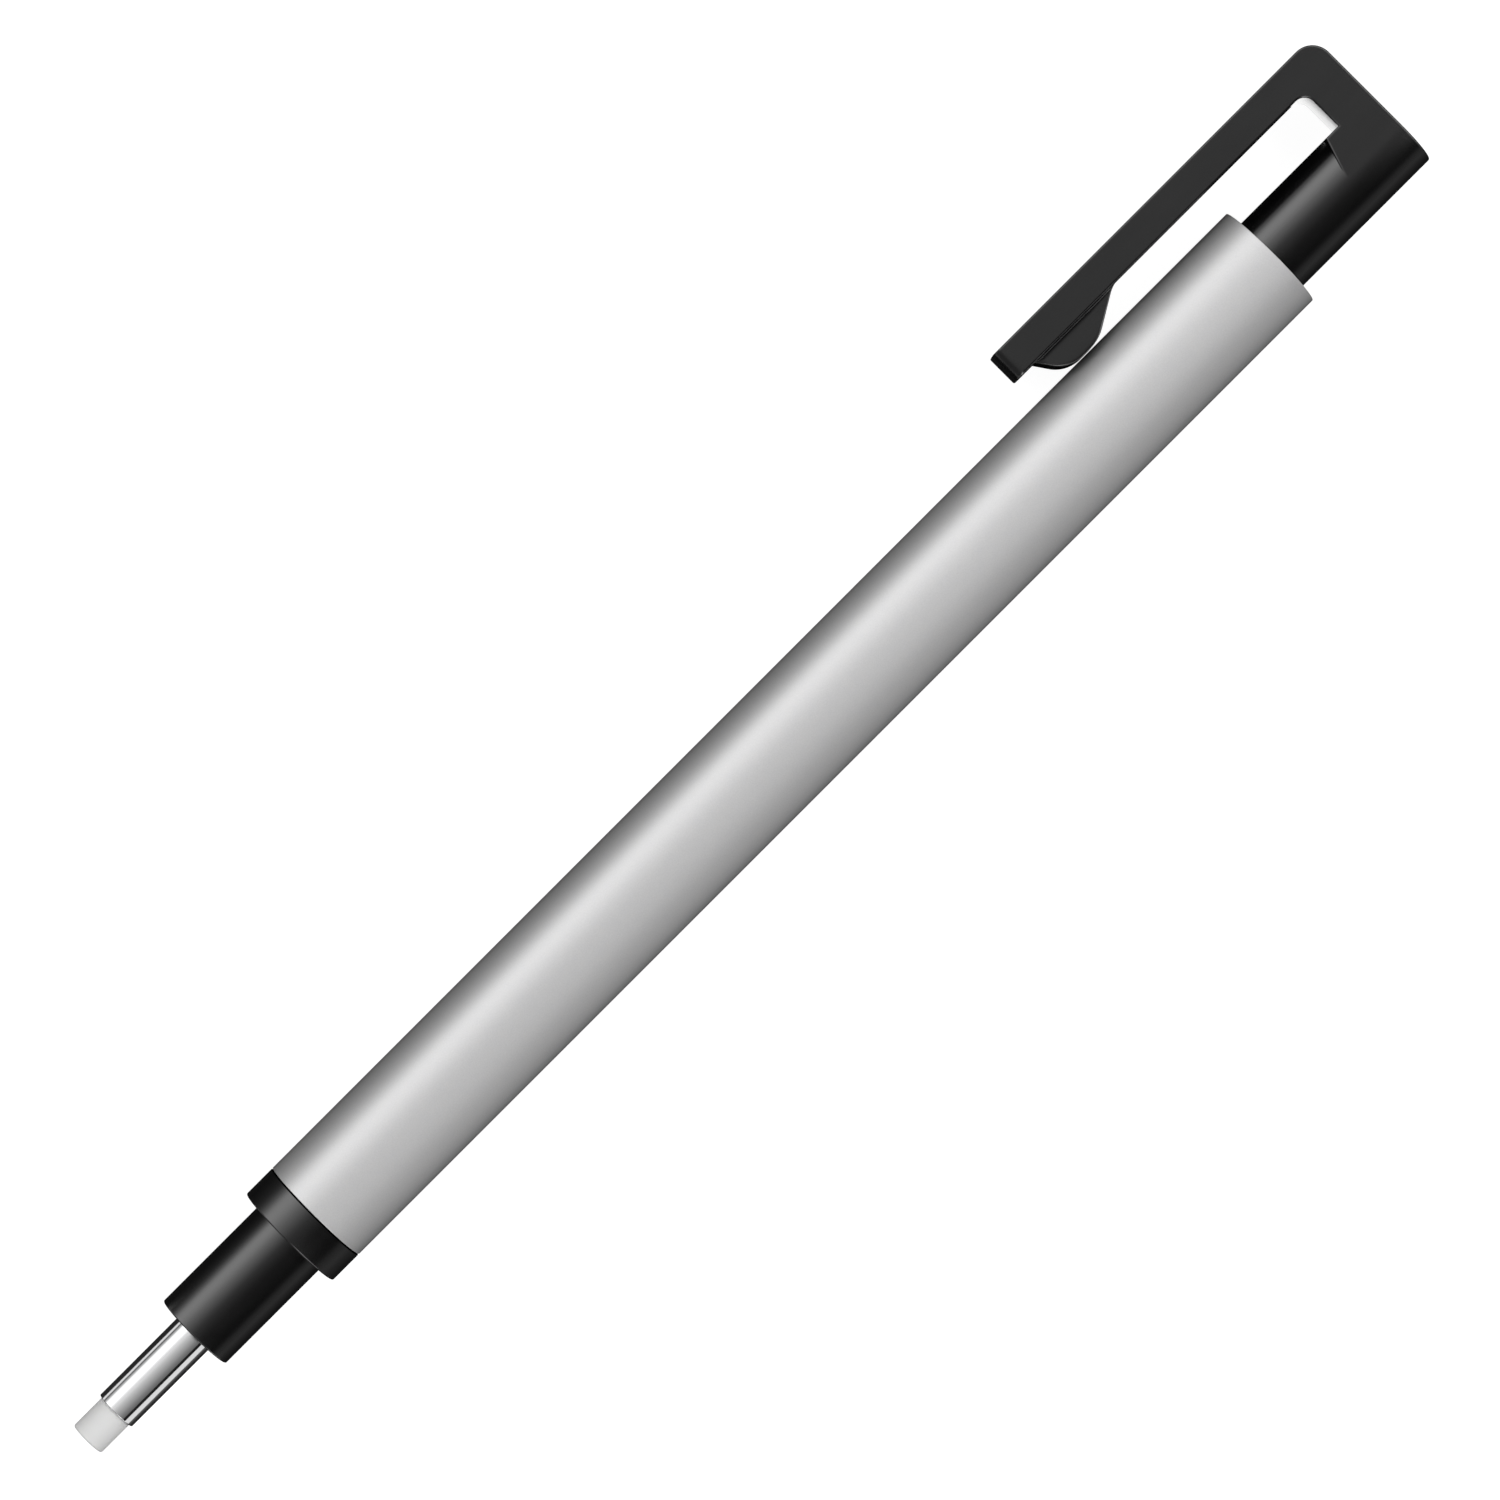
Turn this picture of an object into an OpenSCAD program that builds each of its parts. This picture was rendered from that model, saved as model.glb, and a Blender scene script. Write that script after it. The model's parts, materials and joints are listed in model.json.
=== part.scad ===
// Pen-type stick eraser with a knock-feed clutch and a one-piece clip knob.
// The pen lies on a table along X, tip towards -X, rolled until its clip touches the table.
// Inside each module X runs along the pen's axis from the eraser's tip, and +Y points to the clip.

/* [Eraser stick] */
// Diameter of the eraser stick
core_d = 2.5; // [2:0.1:2.9]
// Length of a new stick
core_len = 88; // [60:1:92]
// Length of stick that stands out of the guide pipe
core_out = 2.6; // [0.6:0.1:6]
// Rounding of the stick's two end edges
core_edge = 0.12; // [0.05:0.01:0.4]

/* [Guide pipe] */
// Wall of the guide pipe
pipe_wall = 0.15; // [0.1:0.01:0.3]
// Length of pipe that stands out of the nose sleeve
pipe_out = 7.2; // [4:0.1:12]
// Length of pipe that is pressed into the nose sleeve, ahead of its flange
pipe_seat = 2.2; // [1.5:0.1:4]
// Width of the flange rolled on the pipe's inner end
pipe_flange_w = 0.4; // [0.2:0.05:0.6]
// Thickness of the pipe's flange
pipe_flange_t = 0.3; // [0.2:0.05:0.5]
// Rounding of the pipe's front lip
pipe_lip = 0.06; // [0.03:0.01:0.09]

/* [Nose cap] */
// Diameter of the slim nose sleeve
sleeve_d = 5.7; // [5.5:0.1:6.6]
// Length of the slim nose sleeve
sleeve_len = 8.7; // [8:0.1:12]
// Length of the collar, which has the barrel's diameter
collar_len = 2.4; // [1.6:0.1:5]
// Rounding of the front edges of the sleeve and the collar
nose_edge = 0.12; // [0.05:0.01:0.3]
// Wall of the shank that screws into the barrel
shank_wall = 0.55; // [0.4:0.05:0.65]
// Length of the shank
shank_len = 9.2; // [8:0.1:14]

/* [Friction ring] */
// Wall of the rubber ring that keeps the stick from sliding back
grip_wall = 0.8; // [0.5:0.05:0.9]
// Length of the rubber ring
grip_len = 2; // [1:0.1:2.2]

/* [Clutch] */
// Distance from the rubber ring to the jaws at rest
jaw_room = 4.7; // [4.2:0.1:6]
// Wall of the jaws at their thick front
jaw_wall = 0.85; // [0.7:0.05:0.95]
// Length of the straight front of the jaws
jaw_lip_len = 1; // [0.6:0.1:1.4]
// Length of the jaws' cone
jaw_cone_len = 3.2; // [2.8:0.1:4]
// Rounding of the jaws' front edge
jaw_edge = 0.15; // [0.05:0.01:0.3]
// Number of jaws
jaw_count = 3; // [2:1:4]
// Width of the slots between the jaws
slot_w = 0.35; // [0.2:0.05:0.6]
// Length of the slots between the jaws
slot_len = 11; // [8:0.5:13]
// Wall of the chuck's stem
stem_wall = 0.4; // [0.3:0.05:0.45]
// Wall of the clutch ring at its front
ring_wall = 0.45; // [0.3:0.05:0.5]
// Length of the clutch ring
ring_len = 2; // [1.5:0.1:2.4]
// Forward travel of the clutch ring, up to its stop in the nose cap
ring_travel = 1.2; // [0.8:0.1:1.6]
// Travel of the knob when it is pressed home
knock_travel = 3.5; // [2:0.1:3.8]

/* [Clutch sleeve and spring] */
// Wall of the clutch sleeve
clutch_wall = 0.25; // [0.2:0.05:0.3]
// Thickness of the sleeve's front wall, which seats the ring and the spring
clutch_front_t = 0.8; // [0.5:0.1:1.2]
// Thickness of the sleeve's flange, clamped between shank and barrel
clutch_flange_t = 0.8; // [0.5:0.1:1.2]
// Diameter of the spring wire
wire_d = 0.4; // [0.3:0.05:0.45]
// Length of the spring at rest
spring_len = 10.4; // [9:0.1:14]
// Number of turns of the spring
spring_turns = 9; // [6:1:10]

/* [Core tube] */
// Wall of the tube that carries the stick
tube_wall = 0.6; // [0.4:0.05:0.65]
// Gap around the stick inside the tube
tube_room = 0.25; // [0.1:0.05:0.3]
// Length of the tube's front collar, which slides in the clutch sleeve
tube_collar_len = 2; // [1:0.1:3]
// Length of the chuck's stem that is pressed into the tube
stem_seat = 4; // [2.5:0.1:6]

/* [Barrel] */
// Outer diameter of the barrel and the nose collar
barrel_d = 7.9; // [7.8:0.1:9]
// Length of the barrel
barrel_len = 87.3; // [80:0.1:110]
// Wall of the barrel along its middle
barrel_wall = 0.9; // [0.85:0.05:0.95]
// Bevel of the barrel's end edges
barrel_bevel = 0.06; // [0.05:0.01:0.3]
// Length of the narrow bore at the rear that guides the knob's rod
guide_len = 4; // [2:0.1:6]

/* [Knob] */
// Diameter of the knob's rod, also the width of the clip
rod_d = 5.7; // [5.5:0.1:5.9]
// Distance that rod and head stand out of the barrel
knob_out = 11.8; // [10.5:0.1:16]
// Length of rod inside the barrel at rest
rod_in = 8.2; // [7:0.1:14]
// Distance that the core tube reaches past the barrel's rear end, inside the rod
tube_out = 3.8; // [1:0.1:4.5]
// Length of the squared head along its flank, at the axis
head_len = 5; // [4.2:0.1:6]
// Slant of the head's front, from the axis up to its top
head_slant = 0.9; // [0.2:0.1:1.2]
// Rounding of the head's lower rear edge
head_edge = 0.15; // [0.1:0.05:0.6]

/* [Clip] */
// Length of the clip's arm, up to the rear end of the pen
arm_len = 29.2; // [24:0.1:40]
// Thickness of the clip's arm
arm_t = 2.25; // [1.5:0.05:3]
// Gap between the arm and the barrel, the thickest cloth that it takes
arm_gap = 1.95; // [1.2:0.05:3]
// Thickness of the bridge that joins the arm to the head
bridge_t = 2.95; // [2:0.05:3.2]
// Radius of the bridge's outer corner
bridge_r = 1.5; // [0.5:0.1:2]
// Radius of the window's corner under the arm
window_r = 0.8; // [0.3:0.1:1]
// Rounding of the arm's long outer edges
arm_edge = 0.15; // [0.1:0.05:0.9]
// Corner radius of the arm's free end, seen from above
arm_tip_r = 0.9; // [0.3:0.1:2]
// Rounding of the arm's free end, seen from the side
arm_tip_edge = 0.12; // [0.05:0.01:0.4]

/* [Bead] */
// Distance from the arm's free end to the bead's lowest point
bead_at = 4.5; // [4:0.1:8]
// Width of the bead across the arm
bead_w = 4.9; // [3:0.1:5.2]
// Radius of the bead's front, towards the free end
bead_front_r = 2.3; // [1.5:0.1:3]
// Radius of the bead's rear
bead_rear_r = 3; // [2:0.1:4]
// Length of the bead's flat crest
bead_flat = 0.64; // [0.2:0.02:1.5]
// Slope of the bead's front in degrees
bead_front_a = 56; // [45:1:70]
// Slope of the bead's rear in degrees
bead_rear_a = 31; // [20:1:40]
// Radius of the hollow where the bead's rear runs out into the arm
bead_hollow_r = 2; // [0.5:0.1:3]

/* [Clearances] */
// Gap around the stick in the pipe and in the chuck's stem
core_fit = 0.05; // [0.02:0.01:0.08]
// Gap between the stick and the closed jaws or the rubber ring
grip_fit = 0.02; // [0.01:0.01:0.04]
// Gap between the clutch ring's taper and the jaws at rest
taper_fit = 0.05; // [0.02:0.01:0.08]
// Gap around the open jaws in the nose cap
jaw_open = 0.25; // [0.15:0.05:0.3]
// Gap around the clutch ring in the nose cap
ring_fit = 0.08; // [0.05:0.01:0.1]
// Gap between flat seats that part when the knob is pressed
seat_fit = 0.05; // [0.02:0.01:0.08]
// Gap around the clutch sleeve and around the tube's collar in it
clutch_fit = 0.05; // [0.02:0.01:0.07]
// Gap around the stem in the clutch sleeve's front wall
stem_room = 0.15; // [0.1:0.05:0.25]
// Gap between the spring and the clutch sleeve around it
spring_room = 0.07; // [0.05:0.01:0.1]
// Gap between the shank and the barrel's socket
shank_fit = 0.05; // [0.02:0.01:0.08]
// Gap between the rod and the barrel's rear guide
rod_fit = 0.05; // [0.02:0.01:0.08]
// Gap between the core tube and the knob's bore, in which the knob turns
swivel_fit = 0.04; // [0.02:0.01:0.08]
// Gap between the core tube's end and the bottom of the knob's bore
tube_end_room = 0.3; // [0.1:0.05:0.5]
// Gap between the bead and the barrel, so that the clip can turn
bead_fit = 0.05; // [0.02:0.01:0.1]

/* [Hidden] */
$fn = 96;

// Stations along the pen from the eraser's tip, at rest
sleeve_front = core_out + pipe_out;
collar_front = sleeve_front + sleeve_len;
barrel_front = collar_front + collar_len;
barrel_rear = barrel_front + barrel_len;
total_len = barrel_rear + knob_out;
flange_front = sleeve_front + pipe_seat;
grip_front = flange_front + pipe_flange_t;
grip_rear = grip_front + grip_len;
jaw_front = grip_rear + jaw_room;
cone_front = jaw_front + jaw_lip_len;
cone_rear = cone_front + jaw_cone_len;
ring_front = cone_rear - ring_len;
ring_stop = ring_front - ring_travel - seat_fit;
clutch_front = cone_rear + seat_fit;
spring_front = clutch_front + clutch_front_t;
tube_front = spring_front + spring_len;
chuck_rear = tube_front + stem_seat;
clutch_rear = tube_front + tube_collar_len + seat_fit;
shank_rear = barrel_front + shank_len;
socket_end = shank_rear + clutch_flange_t;
tube_rear = barrel_rear + tube_out;
rod_front = barrel_rear - rod_in;
head_front = total_len - head_len;
window_rear = total_len - bridge_t;
arm_front = total_len - arm_len;
bead_low = arm_front + bead_at;

// Radii, built up from the stick outwards
core_r = core_d / 2;
grip_r = core_r + grip_fit;
pipe_bore_r = core_r + core_fit;
pipe_r = pipe_bore_r + pipe_wall;
flange_r = pipe_r + pipe_flange_w;
rubber_r = grip_r + grip_wall;
jaw_r = grip_r + jaw_wall;
stem_bore_r = core_r + core_fit;
stem_r = stem_bore_r + stem_wall;
jaw_room_r = jaw_r + jaw_open;
ring_r = jaw_r + taper_fit + ring_wall;
ring_room_r = ring_r + ring_fit;
clutch_r = ring_room_r - clutch_fit;
clutch_bore_r = clutch_r - clutch_wall;
spring_r = clutch_bore_r - spring_room - wire_d / 2;
collar_r = clutch_bore_r - clutch_fit;
tube_bore_r = core_r + tube_room;
tube_r = tube_bore_r + tube_wall;
shank_r = ring_room_r + shank_wall;
socket_r = shank_r + shank_fit;
clutch_flange_r = socket_r - clutch_fit;
barrel_r = barrel_d / 2;
barrel_bore_r = barrel_r - barrel_wall;
rod_r = rod_d / 2;
guide_r = rod_r + rod_fit;
knob_bore_r = tube_r + swivel_fit;
sleeve_r = sleeve_d / 2;
arm_low = barrel_r + arm_gap;
arm_top = arm_low + arm_t;

// The pen rolls on its barrel until the clip's lower rounded edge meets the table
edge_y = arm_top - arm_edge;
edge_z = rod_r - arm_edge;
roll = asin((barrel_r - arm_edge) / norm([edge_y, edge_z])) - atan(edge_z / edge_y);
reach_y = edge_y * cos(roll) + edge_z * sin(roll) + arm_edge;
side_shift = (barrel_r - reach_y) / 2;

// Cutters run past the faces that they cut by this much
past = 1;

// The spring's centre line: one ring of points around each step of the coil
coil_steps = 16;
wire_sides = 6;
wire_r = wire_d / 2;
coil_rings = spring_turns * coil_steps;
coil_front = spring_front + seat_fit + wire_r;
coil_rise = tube_front - seat_fit - wire_r - coil_front;
function coil_angle(i) = 360 * i / coil_steps;
function coil_point(i) = [
    coil_front + coil_rise * i / coil_rings,
    spring_r * cos(coil_angle(i)),
    spring_r * sin(coil_angle(i))
];
function coil_out(i) = [0, cos(coil_angle(i)), sin(coil_angle(i))];
function unit(v) = v / norm(v);
function coil_along(i) = unit([
    coil_rise / coil_rings,
    -spring_r * sin(coil_angle(i)) * 2 * PI / coil_steps,
    spring_r * cos(coil_angle(i)) * 2 * PI / coil_steps
]);
function wire_point(i, k) =
    let (a = 360 * k / wire_sides, side = cross(coil_along(i), coil_out(i)))
    coil_point(i) + wire_r * (cos(a) * coil_out(i) + sin(a) * side);
coil_gap = min([
    for (i = [0 : coil_rings])
        for (j = [i + coil_steps / 2 : 1 : min(coil_rings, i + 2 * coil_steps)])
            norm(coil_point(i) - coil_point(j))
]) - wire_d;
echo(str("least gap of the spring to itself, mm: ", coil_gap));

// Stands a local piece on the table: local X is the pen's axis, local +Y the clip's side
module laid() {
    translate([-total_len / 2, side_shift, barrel_r])
        rotate([-roll, 0, 0])
            children();
}

// Turns a half section round the pen's axis: its x is a radius, its y a station
module turned() {
    rotate([0, 90, 0])
        rotate_extrude()
            children();
}

// Half section of a plain tube
module wall_2d(inner_r, outer_r, front, rear) {
    translate([inner_r, front])
        square([outer_r - inner_r, rear - front]);
}

// What a rounding of radius r takes off a square corner that lies at the origin, inside x < 0, y > 0
module corner_2d(r) {
    difference() {
        translate([-r, -past])
            square([r + past, r + past]);
        translate([-r, r])
            circle(r = r);
    }
}

// What a 45 degree bevel takes off the same corner
module bevel_2d(b) {
    polygon([[-b - past, -past], [-b, 0], [0, b], [past, b + past], [past, -past]]);
}

// The eraser stick
module core() {
    color("white") laid() turned() difference() {
        wall_2d(0, core_r, 0, core_len);
        translate([core_r, 0]) corner_2d(core_edge);
        translate([core_r, core_len]) mirror([0, 1]) corner_2d(core_edge);
    }
}

// The thin metal pipe that guides the stick, with a rolled flange at its inner end
module guide_pipe() {
    color("silver") laid() turned() difference() {
        union() {
            wall_2d(pipe_bore_r, pipe_r, core_out, grip_front);
            wall_2d(pipe_bore_r, flange_r, flange_front, grip_front);
        }
        translate([pipe_r, core_out]) corner_2d(pipe_lip);
    }
}

// The rubber ring that holds the stick while the jaws go back for a new grip
module friction_ring() {
    color("dimgray") laid() turned()
        wall_2d(grip_r, rubber_r, grip_front, grip_rear);
}

// Sleeve, collar and screwed shank in one moulding, bored in steps from behind
module nose_cap() {
    color("black") laid() turned() difference() {
        union() {
            wall_2d(0, sleeve_r, sleeve_front, barrel_front);
            wall_2d(0, barrel_r, collar_front, barrel_front);
            wall_2d(0, shank_r, collar_front, shank_rear);
        }
        wall_2d(0, pipe_r, sleeve_front - past, grip_front);
        wall_2d(0, flange_r, flange_front, grip_front);
        wall_2d(0, rubber_r, grip_front, grip_rear);
        wall_2d(0, jaw_room_r, grip_rear, ring_stop);
        wall_2d(0, ring_room_r, ring_stop, shank_rear + past);
        translate([sleeve_r, sleeve_front]) corner_2d(nose_edge);
        translate([barrel_r, collar_front]) corner_2d(nose_edge);
    }
}

// The collet: jaws with a cone behind them, sprung by long slots, on a hollow stem
module chuck() {
    color("goldenrod") laid() difference() {
        turned() difference() {
            union() {
                wall_2d(grip_r, jaw_r, jaw_front, cone_front);
                polygon([
                    [grip_r, cone_front], [jaw_r, cone_front],
                    [stem_r, cone_rear], [grip_r, cone_rear]
                ]);
                wall_2d(stem_bore_r, stem_r, cone_front, chuck_rear);
            }
            translate([jaw_r, jaw_front]) corner_2d(jaw_edge);
        }
        for (i = [0 : jaw_count - 1])
            rotate([360 * i / jaw_count, 0, 0])
                translate([jaw_front - past, 0, -slot_w / 2])
                    cube([slot_len + past, jaw_r + past, slot_w]);
    }
}

// The ring that closes the jaws when the spring draws the cone into it
module clutch_ring() {
    cone_slope = (jaw_r - stem_r) / jaw_cone_len;
    color("gold") laid() turned() polygon([
        [stem_r + cone_slope * ring_len + taper_fit, ring_front],
        [ring_r, ring_front],
        [ring_r, cone_rear],
        [stem_r + taper_fit, cone_rear]
    ]);
}

// The sleeve that seats the ring in front and holds the spring, clamped by its flange
module clutch_sleeve() {
    color("darkkhaki") laid() turned() {
        wall_2d(stem_r + stem_room, clutch_r, clutch_front, spring_front);
        wall_2d(clutch_bore_r, clutch_r, clutch_front, clutch_rear);
        wall_2d(clutch_bore_r, clutch_flange_r, shank_rear, socket_end);
    }
}

// The compression spring that draws chuck, tube and knob back, as one unbroken wire
module return_spring() {
    points = [
        for (i = [0 : coil_rings])
            for (k = [0 : wire_sides - 1])
                wire_point(i, k)
    ];
    sides = [
        for (i = [0 : coil_rings - 1])
            for (k = [0 : wire_sides - 1])
                let (a = i * wire_sides, b = a + wire_sides, n = (k + 1) % wire_sides)
                    each [[a + k, a + n, b + k], [a + n, b + n, b + k]]
    ];
    last = coil_rings * wire_sides;
    ends = [
        for (k = [1 : wire_sides - 2])
            each [[0, k + 1, k], [last, last + k, last + k + 1]]
    ];
    color("lightsteelblue") laid()
        polyhedron(points = points, faces = concat(sides, ends));
}

// The long tube that carries the stick and joins chuck and knob
module core_tube() {
    color("gainsboro") laid() turned() difference() {
        union() {
            wall_2d(0, collar_r, tube_front, tube_front + tube_collar_len);
            wall_2d(0, tube_r, tube_front, tube_rear);
        }
        wall_2d(0, stem_r, tube_front - past, chuck_rear);
        wall_2d(0, tube_bore_r, chuck_rear, tube_rear + past);
    }
}

// The barrel: a socket for the nose cap in front, a ledge for the sleeve, a guide at the rear
module barrel() {
    color("silver") laid() turned() difference() {
        wall_2d(0, barrel_r, barrel_front, barrel_rear);
        wall_2d(0, socket_r, barrel_front - past, socket_end);
        wall_2d(0, barrel_bore_r, socket_end, barrel_rear - guide_len);
        wall_2d(0, guide_r, barrel_rear - guide_len, barrel_rear + past);
        translate([barrel_r, barrel_front]) bevel_2d(barrel_bevel);
        translate([barrel_r, barrel_rear]) mirror([0, 1]) bevel_2d(barrel_bevel);
    }
}

// Side outline of head, bridge and arm
module clip_side_2d() {
    difference() {
        union() {
            polygon([
                [head_front, -rod_r], [head_front, 0], [head_front + head_slant, rod_r],
                [total_len, rod_r], [total_len, -rod_r]
            ]);
            translate([window_rear, 0]) square([bridge_t, arm_top]);
            translate([arm_front, arm_low]) square([arm_len, arm_t]);
            translate([window_rear - window_r, arm_low - window_r]) difference() {
                square(window_r);
                circle(r = window_r);
            }
        }
        translate([total_len, arm_top]) mirror([0, 1]) corner_2d(bridge_r);
        translate([total_len, -rod_r]) corner_2d(head_edge);
        translate([arm_front, arm_top]) rotate(180) corner_2d(arm_tip_edge);
        translate([arm_front, arm_low]) mirror([1, 0]) corner_2d(arm_tip_edge);
    }
}

// End outline of the knob: round below, square above, with the arm's long edges rounded
module clip_end_2d() {
    circle(r = rod_r);
    difference() {
        translate([0, -rod_r]) square([arm_top, rod_d]);
        translate([arm_top, rod_r]) mirror([0, 1]) corner_2d(arm_edge);
        translate([arm_top, -rod_r]) corner_2d(arm_edge);
    }
}

// Plan outline of the arm, with its free end rounded
module clip_plan_2d() {
    difference() {
        translate([arm_front, -rod_r]) square([arm_len, rod_d]);
        translate([arm_front, rod_r]) rotate(180) corner_2d(arm_tip_r);
        translate([arm_front, -rod_r]) mirror([1, 0]) corner_2d(arm_tip_r);
    }
}

// Side outline of the bead under the arm: y counts down from the arm to the barrel
module bead_2d() {
    drop = arm_gap - bead_fit;
    front = [-bead_flat / 2, drop - bead_front_r];
    rear = [bead_flat / 2, drop - bead_rear_r];
    front_tangent = front + bead_front_r * [-sin(bead_front_a), cos(bead_front_a)];
    rear_tangent = rear + bead_rear_r * [sin(bead_rear_a), cos(bead_rear_a)];
    front_foot = front_tangent[0] - front_tangent[1] / tan(bead_front_a);
    rear_foot = rear_tangent[0] + rear_tangent[1] / tan(bead_rear_a);
    run_out = bead_hollow_r * tan(bead_rear_a / 2);
    root = arm_t / 2;
    intersection() {
        polygon([
            [front_foot, -root], [front_foot, 0],
            [front[0] - bead_front_r * tan(bead_front_a / 2), drop],
            [rear[0] + bead_rear_r * tan(bead_rear_a / 2), drop],
            [rear_foot, 0], [rear_foot, -root]
        ]);
        union() {
            translate(front) circle(r = bead_front_r);
            translate(rear) circle(r = bead_rear_r);
            polygon([
                [front_foot, -root], [front_foot, 0], front_tangent, front, [front[0], drop],
                [rear[0], drop], rear, rear_tangent, [rear_foot, 0], [rear_foot, -root]
            ]);
        }
    }
    difference() {
        polygon([
            [rear_foot - run_out * cos(bead_rear_a), run_out * sin(bead_rear_a)],
            [rear_foot + run_out, 0],
            [rear_foot, -root],
            [rear_foot - run_out, -root]
        ]);
        translate([rear_foot + run_out, bead_hollow_r]) circle(r = bead_hollow_r);
    }
}

// Rod, head, bridge, arm and bead in one moulding
module clip_knob() {
    color("black") laid() difference() {
        union() {
            turned() wall_2d(0, rod_r, rod_front, window_rear);
            intersection() {
                translate([0, 0, -rod_r]) linear_extrude(rod_d) clip_side_2d();
                translate([arm_front, 0, 0]) rotate([90, 0, 90])
                    linear_extrude(arm_len) clip_end_2d();
                translate([0, arm_top + past, 0]) rotate([90, 0, 0])
                    linear_extrude(arm_top + rod_r + 2 * past) clip_plan_2d();
            }
            translate([bead_low, arm_low, -bead_w / 2])
                linear_extrude(bead_w) mirror([0, 1]) bead_2d();
        }
        turned() wall_2d(0, knob_bore_r, rod_front - past, tube_rear + tube_end_room);
    }
}

core();
guide_pipe();
friction_ring();
nose_cap();
chuck();
clutch_ring();
clutch_sleeve();
return_spring();
core_tube();
barrel();
clip_knob();
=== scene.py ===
import json
import math

import bmesh
import bpy
from mathutils import Matrix, Vector


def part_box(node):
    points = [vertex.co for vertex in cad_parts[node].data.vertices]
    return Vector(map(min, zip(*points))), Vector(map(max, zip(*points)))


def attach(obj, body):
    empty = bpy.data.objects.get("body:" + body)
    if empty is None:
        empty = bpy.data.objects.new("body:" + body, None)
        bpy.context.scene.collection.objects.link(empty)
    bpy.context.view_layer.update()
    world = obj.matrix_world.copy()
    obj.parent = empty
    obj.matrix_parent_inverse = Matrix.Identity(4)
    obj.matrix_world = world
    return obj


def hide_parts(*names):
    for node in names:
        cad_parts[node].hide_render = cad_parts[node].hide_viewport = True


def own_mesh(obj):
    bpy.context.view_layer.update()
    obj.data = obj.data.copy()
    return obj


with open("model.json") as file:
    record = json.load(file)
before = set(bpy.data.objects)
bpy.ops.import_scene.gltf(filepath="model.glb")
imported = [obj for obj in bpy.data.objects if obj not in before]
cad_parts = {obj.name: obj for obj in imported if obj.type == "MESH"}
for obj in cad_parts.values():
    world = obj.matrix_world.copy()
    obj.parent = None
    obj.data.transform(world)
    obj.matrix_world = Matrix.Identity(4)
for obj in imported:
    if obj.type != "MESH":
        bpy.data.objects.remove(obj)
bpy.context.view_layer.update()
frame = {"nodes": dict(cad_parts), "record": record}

# The pen's own axes. The barrel's box gives its axis, and the pocket clip's mount the side on
# which the clip lies: x runs along the pen to its knob, y to the clip, z out of the clip's flank.
barrel_low, barrel_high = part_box("barrel")
axis_y = (barrel_low.y + barrel_high.y) / 2
axis_z = (barrel_low.z + barrel_high.z) / 2
mounts = {m["name"]: m for m in frame["record"]["mounts"]}
clip_at = Vector(mounts["pocket_clip"]["pos_m"])
to_clip = Vector((0, clip_at.y - axis_y, clip_at.z - axis_z)).normalized()
along = Vector((1, 0, 0))
to_eye = along.cross(to_clip)
pen = Matrix.Translation((0, axis_y, axis_z)) @ Matrix((along, to_clip, to_eye)).transposed().to_4x4()
MM = 0.001

# Camera: square on the clip's flank, with the pen's tip at the lower left and its knob at the
# upper right, so that the pen runs up the picture at 45 degrees.
view_mm = 97.09
eye_mm = 533
sensor_mm = 36
aim_along, aim_aside = 1.855, 1.222
aim = pen @ Vector((aim_along * MM, aim_aside * MM, 0))
picture_up = (along + to_clip).normalized()
picture_right = picture_up.cross(to_eye)
camera_data = bpy.data.cameras.new("camera")
camera_data.sensor_width = sensor_mm
camera_data.lens = sensor_mm * eye_mm / view_mm
camera_data.clip_start = 0.01
camera_data.clip_end = 20
camera = bpy.data.objects.new("camera", camera_data)
bpy.context.scene.collection.objects.link(camera)
camera.matrix_world = Matrix.Translation(aim + to_eye * eye_mm * MM) @ Matrix(
    (picture_right, picture_up, to_eye)
).transposed().to_4x4()
bpy.context.scene.camera = camera


# Barrel: one moulded tube, painted satin silver. Its front socket takes the nose cap's screwed
# shank, a ledge behind that takes the clutch sleeve's flange, and its narrow rear end guides the
# knob's rod. The paint runs over the slightly rounded edges of both ends.
ROUND_STEPS = 160
SHARP_ANGLE = math.radians(33)


def arc(centre, radius, start, end, steps=6):
    """Points of an arc in the (x, r) plane, angles in degrees from +x."""
    turns = [math.radians(start + (end - start) * i / steps) for i in range(steps + 1)]
    return [(centre[0] + radius * math.cos(t), centre[1] + radius * math.sin(t)) for t in turns]


def shown(name, mesh, body, node):
    """Puts a finished mesh, made in the pen's axes, in the place of a CAD node."""
    piece = bpy.data.objects.new(name, mesh)
    bpy.context.scene.collection.objects.link(piece)
    piece.matrix_world = pen
    for face in mesh.polygons:
        face.use_smooth = True
    mesh.set_sharp_from_angle(angle=SHARP_ANGLE)
    flats = piece.modifiers.new("flats stay flat", "WEIGHTED_NORMAL")
    flats.keep_sharp = True
    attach(piece, body)
    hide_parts(node)
    return piece


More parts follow.
